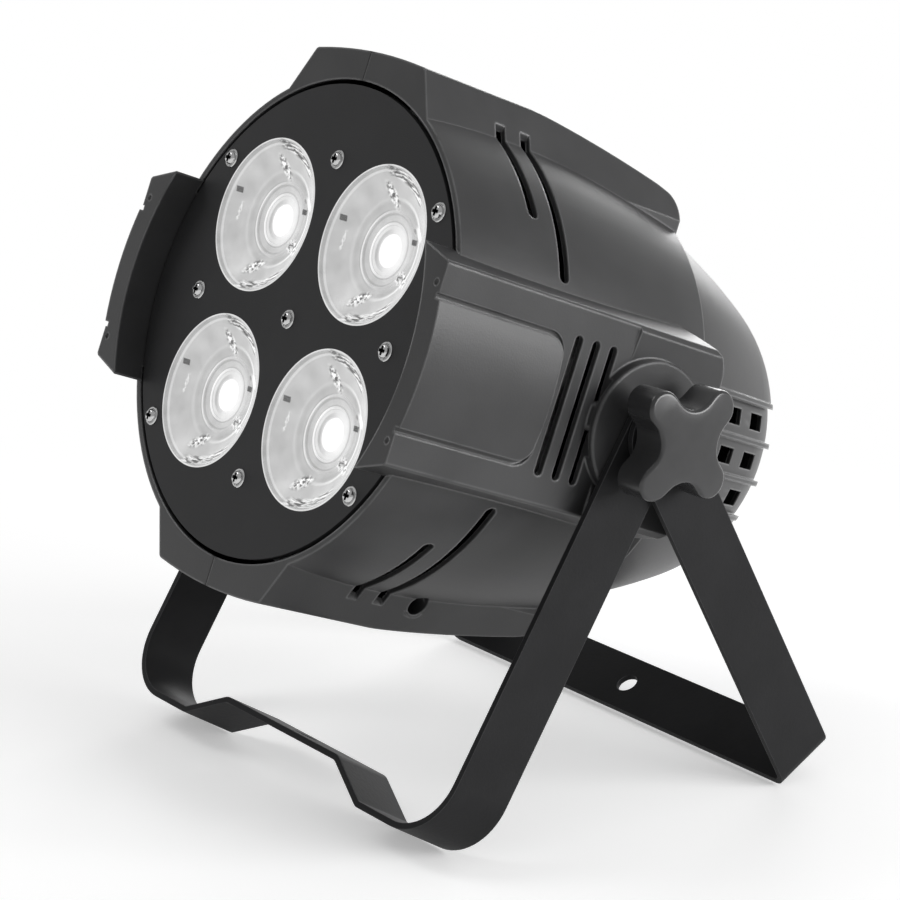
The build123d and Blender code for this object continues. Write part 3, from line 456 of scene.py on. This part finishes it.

# ---- Lenses ----
# Four clear moulded optics over the LEDs. Through each flat front show the glowing LED, two
# rings, and the bowl with its flashes and two gates; all but the LED glow with painted light,
# painted highlights and painted shade. A thin lip laps the plate's hole.
# Radius and depth in mm: LED and rings, bowl, lip, then the back
optic_profile = [
    (0.0, 9.5), (6.5, 9.5), (6.8, 9.1), (9.9, 8.9), (10.1, 8.4), (10.9, 8.4), (11.1, 8.8),
    (14.3, 8.3), (14.5, 7.6), (15.4, 7.6), (15.6, 8.0), (18.5, 7.1), (22.0, 5.9),
    (25.5, 4.3), (28.4, 2.6), (29.6, 1.6), (30.2, 1.0), (30.45, 0.1), (30.8, -0.12),
    (31.1, -0.2), (31.3, -0.15), (31.4, 0.0), (30.5, 0.02), (30.5, 5.2), (22.0, 13.0),
    (9.0, 20.0), (0.0, 20.0),
]
pane_profile = [(0.0, 0.1), (30.46, 0.1), (30.46, 0.4), (0.0, 0.4)]
map_width = 0.080                # what the whole of the flat map spans on the lens


def turned_piece(name, profile, steps):
    """A closed form turned on +Z from radius and depth in mm, with a flat UV map."""
    form = bmesh.new()
    flat = form.loops.layers.uv.new("Lens")
    rows = []
    for radius, depth in profile:
        r, z = radius / 1000, -depth / 1000
        if r == 0.0:
            rows.append([form.verts.new((0.0, 0.0, z))] * steps)
            continue
        rows.append([
            form.verts.new((r * cos(2 * pi * k / steps), r * sin(2 * pi * k / steps), z))
            for k in range(steps)
        ])
    for low, high in zip(rows, rows[1:]):
        for k in range(steps):
            after = (k + 1) % steps
            corners = dict.fromkeys((low[k], low[after], high[after], high[k]))
            form.faces.new(list(corners)).smooth = True
    bmesh.ops.recalc_face_normals(form, faces=form.faces)
    for face in form.faces:
        for loop in face.loops:
            place = loop.vert.co
            loop[flat].uv = (place.x / map_width + 0.5, place.y / map_width + 0.5)
    mesh = bpy.data.meshes.new(name)
    form.to_mesh(mesh)
    form.free()
    mesh.set_sharp_from_angle(angle=radians(25))
    return bpy.data.objects.new(name, mesh)


optic = bpy.data.materials.new("optic with painted glow")
root = shader_tree(optic)
flat = root.node("UVMap", {"uv_map": "Lens"})
x, z = [(root.node("SeparateXYZ", inputs={0: flat}, output=index) - 0.5)
        * (map_width * 1000) for index in (0, 1)]
r = root.math("SQRT", x * x + z * z)
angle = root.math("ARCTAN2", z, x)
right = (x / (r + 0.001)).ramp(-0.3, 1.0)
left = (x / (r + 0.001) * -1.0).ramp(-0.2, 1.0)


def band(start, end, soft=0.12):
    """1 between two radii, in millimetres, with soft edges."""
    return r.ramp(start - soft, start + soft) * (1.0 - r.ramp(end - soft, end + soft))


def patch(at_x, at_z, long, short, turn):
    """1 inside a soft oval spot whose long way is turned by an angle in degrees."""
    c, s = cos(radians(turn)), sin(radians(turn))
    along = ((x - at_x) * c + (z - at_z) * s) / long
    over = ((z - at_z) * c - (x - at_x) * s) / short
    return 1.0 - root.math("SQRT", along * along + over * over).ramp(0.45, 1.0)


def arc(way, start, end):
    """A band of flashes between two angles that nears the rim as it goes round."""
    turn = angle * (way * degrees(1.0))
    line = r - (turn * 0.082 + 21.3)
    return (1.0 - line.abs().ramp(1.0, 2.5)) * turn.ramp(start, start + 10.0) * (
        1.0 - turn.ramp(end - 8.0, end))


def either(first, *others):
    """The highest of several masks."""
    for mask in others:
        first = root.math("MAXIMUM", first, mask)
    return first


# Noises in the lens's own plane, in mm, for clouding, flashes and streaks
plane = root.node("CombineXYZ", inputs={0: x, 1: z, 2: 0.0})
cloud = root.node("TexNoise", inputs={"Vector": plane, "Scale": 0.11, "Detail": 2.0})
fine = root.node("TexNoise", inputs={"Vector": plane, "Scale": 0.9, "Detail": 4.0})
blotch = root.node("TexNoise", inputs={"Vector": plane, "Scale": 0.62, "Detail": 2.0})
cells = root.node(
    "TexVoronoi", {"feature": "F1"}, {"Vector": plane, "Scale": 0.95}, output=1)
spark = root.node("SeparateColor", inputs={0: cells}) * 0.45
spark = spark + blotch.ramp(0.36, 0.62) * 0.65
drawn = root.node("CombineXYZ", inputs={0: angle * 5.5, 1: r * 1.25, 2: x * 0.1})
streaks = root.node("TexNoise", inputs={"Vector": drawn, "Scale": 1.0, "Detail": 4.0})
streaks = streaks.ramp(0.40, 0.62)
ripple = root.math("SINE", angle * 90.0)

# Brightness, from the bowl's clouding, the LED's halo and painted light, ring by ring inwards
halo = 1.0 - r.ramp(6.0, 19.0)
# The halo is painted lighter on the right, a painted highlight
tone = 0.54 + (cloud - 0.5) * 0.30 + (fine - 0.5) * 0.05 + halo * (0.05 + right * 0.17)
# The outer rings are painted lighter on the right, a painted highlight
tone = tone + band(19.2, 20.4, 0.5) * (0.06 + right * 0.30) - band(17.4, 18.6, 0.8) * 0.04
tone = tone + right * band(20.0, 27.0, 2.0) * 0.12
# The second and first rings are painted lighter on the left, a painted highlight, with a line
# just outside the second ring darker on the left
tone = tone + band(14.5, 15.4) * (0.03 + left * 0.28) - band(15.5, 16.1, 0.2) * left * 0.12
tone = tone - band(13.7, 14.4, 0.2) * 0.10 + band(11.2, 13.6) * (ripple * 0.035 + 0.03)
tone = tone + band(10.0, 10.9) * (0.16 + left * 0.26) - band(11.0, 11.5, 0.1) * 0.12
# A crescent on the LED's left is painted darker, a painted shadow
tone = tone + band(6.8, 9.8) * 0.20 - band(6.9, 8.4, 0.3) * left * 0.26
# Clusters of flashes in the bowl, the streaks along its upper and lower rim, and a glint
scatter = either(patch(-4.0, 20.5, 7.5, 3.0, -48.0), patch(-4.6, -21.0, 7.0, 3.2, 34.0),
                 patch(14.6, -9.6, 6.5, 3.6, -20.0))
tone = tone + scatter * (spark - 0.50) * 1.25
sweep = either(arc(1, 45.0, 104.0), arc(-1, 45.0, 104.0))
tone = tone + sweep * (streaks * 0.85 - 0.48)
tone = tone + patch(17.5, 8.6, 5.5, 1.8, -35.0) * 0.38
tone = tone - patch(13.5, 9.5, 2.0, 0.9, -30.0) * 0.25
squiggle = 1.0 - (x + 24.2 + (fine - 0.5) * 3.4).abs().ramp(0.15, 0.5)
tone = tone + squiggle * (1.0 - (z + 1.0).abs().ramp(3.0, 4.8)) * 0.30
# The rim and its lip painted bright, painted highlights, the two dark gates, and the LED itself
tone = tone + band(29.2, 29.9) * 0.14 - band(30.0, 30.5, 0.1) * 0.12
tone = tone + band(30.8, 31.5, 0.1) * 0.18
for at_x, at_z, wide, tall in ((-26.3, 7.2, 1.5, 1.3), (15.3, 5.3, 2.0, 1.2)):
    gate = (1.0 - (x - at_x).abs().ramp(wide - 0.4, wide + 0.1)) * (
        1.0 - (z - at_z).abs().ramp(tall - 0.4, tall + 0.1))
    tone = tone * (1.0 - gate * 0.90)
tone = tone + (1.0 - r.ramp(6.2, 6.9)) * 0.6
tone = root.node("Clamp", inputs={0: tone, 1: 0.10, 2: 1.15})
# The tone is emitted as a glow: the LED's own light in the middle, painted light elsewhere
body = tone * 0.30
pale = root.node("CombineColor", inputs={0: body, 1: body, 2: body})
led_and_painted_glow = root.node("CombineColor", inputs={0: tone, 1: tone, 2: tone})
relief = root.node("Bump", inputs={
    "Height": scatter * spark + sweep * streaks, "Strength": 0.3, "Distance": 0.0005})
bsdf = root.node("BsdfPrincipled", inputs={
    "Base Color": pale, "Roughness": 0.20 + fine * 0.1, "Emission Color": led_and_painted_glow,
    "Emission Strength": 0.82, "Normal": relief})
root.node("OutputMaterial", inputs={"Surface": bsdf})

clear = bpy.data.materials.new("clear window")
root = shader_tree(clear)
place = root.node("TexCoord", output=3)
haze = root.node("TexNoise", inputs={"Vector": place, "Scale": 60.0, "Detail": 3.0})
facing = root.node("LayerWeight", inputs={"Blend": 0.5}, output=1)
bsdf = root.node("BsdfPrincipled", inputs={
    "Base Color": grey(0.85), "Roughness": 0.03 + haze * 0.05,
    "Alpha": 0.01 + facing * facing * 0.12 + haze * 0.02})
root.node("OutputMaterial", inputs={"Surface": bsdf})

middle, steps = 0.0365, 96
lens_places = [(x * middle, -pivot_depth, z * middle) for z in (1, -1) for x in (-1, 1)]
one_optic = turned_piece("optic", optic_profile, steps)
optics = in_row("lens_optics", one_optic, lens_places, FRONTWARD, optic)
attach(optics, "head")
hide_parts("lens_1", "lens_2", "lens_3", "lens_4")
one_pane = turned_piece("pane", pane_profile, steps)
panes = in_row("lens_windows", one_pane, lens_places, FRONTWARD, clear)
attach(panes, "head")

# ---- Holders, LED modules and what carries them ----
# Grey cones and white modules on a bare extruded heatsink, with the fan behind it, and the
# driver on its zinc-plated tray. They show only through the vents.
holder = finish("holder plastic", (0.62, 0.63, 0.64), 0.40, grain=0.1)
dress(holder, *[f"lens_holder_{n}" for n in range(1, 5)])
module = finish("module ceramic", (0.82, 0.82, 0.80), 0.45, mottle=0.04)
dress(module, *[f"led_module_{n}" for n in range(1, 5)])
bare = finish("extruded aluminium", (0.50, 0.50, 0.51), 0.38, grain=0.15, Metallic=1.0)
dress(bare, "heatsink")
zinc = finish("zinc plate", (0.55, 0.55, 0.56), 0.30, grain=0.1, mottle=0.16, edge=0.0002,
              Metallic=1.0)
dress(zinc, "plate_standoffs", "driver_tray", "safety_eye")
fan_black = finish("fan plastic", (0.025, 0.025, 0.026), 0.36, grain=0.12)
dress(fan_black, "fan_frame", "fan_rotor")
board = finish("circuit board", (0.03, 0.14, 0.06), 0.35, grain=0.1, mottle=0.3)
dress(board, "driver_board", "control_board")

# ---- Brackets ----
# Two bent steel strips, powder coated black, with a faint orange-peel surface and edges
# painted lighter as a highlight. Both turn on the tilt bolts, the rear one outside the front
# one's arms.
powder = finish(
    "powder coat", (0.021, 0.021, 0.022), 0.52, grain=0.30, grain_scale=650.0, edge=0.0006,
    edge_highlight=(0.085, 0.085, 0.088), **{"Specular IOR Level": 0.10},
)
dress(powder, "front_bracket", "rear_bracket")

# ---- Tilt pivot and knobs ----
# A zinc-plated bolt on each side goes through fibre washers into a brass insert. A black
# knob with four lobes is moulded over its head, smooth, rounded and slightly domed.
brass = finish("turned brass", (0.70, 0.52, 0.25), 0.28, Metallic=1.0)
dress(brass, "pivot_insert_left", "pivot_insert_right")
fibre = finish("fibre washer", (0.02, 0.02, 0.02), 0.70, grain=0.3)
dress(fibre, "boss_washers", "arm_washers")
dress(zinc, "knob_washer_left", "knob_washer_right", "knob_bolt_left", "knob_bolt_right")

lobe_middle, lobe_r, valley_middle, valley_r = 0.020, 0.007, 0.017, 0.010
knob_back, knob_face = 0.1149, 0.1315
outline = []                     # place and outward way, for all four lobes
for quarter in range(4):
    c, s = cos(quarter * pi / 2), sin(quarter * pi / 2)
    lobe = [(lobe_middle + lobe_r * cos(t), lobe_r * sin(t), cos(t), sin(t))
            for t in [-pi / 2 + pi * k / 12 for k in range(13)]]
    lobe += [(valley_middle + valley_r * cos(t), valley_middle + valley_r * sin(t),
              -cos(t), -sin(t)) for t in [3 * pi / 2 - pi / 2 * k / 10 for k in range(11)]]
    outline += [(u * c - v * s, u * s + v * c, out_u * c - out_v * s, out_u * s + out_v * c)
                for u, v, out_u, out_v in lobe]
tip_r = lobe_middle + lobe_r
crown, round_r, back_chamfer = 0.0022, 0.0016, 0.0008
wheel_turn = radians(45.0 + 13.6)


def knob_point(form, side, x, u, v):
    """A corner of the knob on one side of the lamp, its outline turned into place."""
    c, s = cos(wheel_turn), sin(wheel_turn)
    return form.verts.new((side * x, u * c - v * s, u * s + v * c))


def domed(u, v, below=0.0):
    """Distance from the lamp's middle to the domed face at a place on it."""
    return knob_face - crown * (u * u + v * v) / tip_r ** 2 - below


knob_black = finish("knob plastic", (0.034, 0.034, 0.035), 0.23, grain=0.03,
                    grain_scale=400.0, mottle=0.15)
for side, name in ((1, "right"), (-1, "left")):
    form = bmesh.new()
    rows = [
        [knob_point(form, side, knob_back + lift, u - out_u * inset, v - out_v * inset)
         for u, v, out_u, out_v in outline]
        for lift, inset in ((0.0, back_chamfer), (back_chamfer, 0.0))
    ]
    for turn in [step * pi / 12 for step in range(7)]:
        inset, below = round_r * (1 - cos(turn)), round_r * (1 - sin(turn))
        rows.append([
            knob_point(form, side, domed(u, v, below), u - out_u * inset, v - out_v * inset)
            for u, v, out_u, out_v in outline
        ])
    face_rim = [
        (u - out_u * round_r, v - out_v * round_r) for u, v, out_u, out_v in outline]
    for share in (0.85, 0.7, 0.55, 0.4, 0.25, 0.1):
        rows.append([
            knob_point(form, side, domed(u * share, v * share), u * share, v * share)
            for u, v in face_rim
        ])
    front = form.verts.new((side * knob_face, 0.0, 0.0))
    rear = form.verts.new((side * knob_back, 0.0, 0.0))
    for k in range(len(outline)):
        after = (k + 1) % len(outline)
        for low, high in zip(rows, rows[1:]):
            form.faces.new((low[k], low[after], high[after], high[k]))
        form.faces.new((rows[-1][k], rows[-1][after], front))
        form.faces.new((rows[0][after], rows[0][k], rear))
    bmesh.ops.recalc_face_normals(form, faces=form.faces)
    for face in form.faces:
        face.smooth = True
    mesh = bpy.data.meshes.new(f"tilt_knob_{name}")
    form.to_mesh(mesh)
    form.free()
    mesh.set_sharp_from_angle(angle=radians(40))
    mesh.transform(HEAD)
    mesh.materials.append(knob_black)
    piece = bpy.data.objects.new(f"tilt_knob_{name}", mesh)
    scene.collection.objects.link(piece)
    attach(piece, f"knob_{name}")
    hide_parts(f"knob_{name}")

# ---- Rear panel, sockets, display and buttons ----
# A painted steel disc, screwed to the rear cover, with two data and two mains sockets, a
# tinted display window and four moulded buttons that press in.
# Its edges are painted lighter as a highlight
panel_black = finish("panel paint", (0.026, 0.026, 0.027), 0.45, grain=0.3,
                     grain_scale=900.0, edge=0.0004, edge_highlight=(0.055, 0.055, 0.057))
dress(panel_black, "rear_panel")
socket_black = finish("socket black", (0.022, 0.022, 0.023), 0.40, grain=0.12, edge=0.0004)
dress(socket_black, "data_in_socket", "data_out_socket")
button_black = finish("button black", (0.055, 0.055, 0.058), 0.32, edge=0.0003)
dress(button_black, "button_menu", "button_down", "button_up", "button_enter")
socket_blue = finish("socket blue", (0.02, 0.10, 0.42), 0.40, grain=0.12, edge=0.0004)
dress(socket_blue, "mains_in_socket")
socket_grey = finish("socket grey", (0.45, 0.45, 0.45), 0.40, grain=0.12, edge=0.0004)
dress(socket_grey, "mains_out_socket")
tinted = finish("tinted window", (0.016, 0.005, 0.005), 0.08, mottle=0.05)
dress(tinted, "display_window")
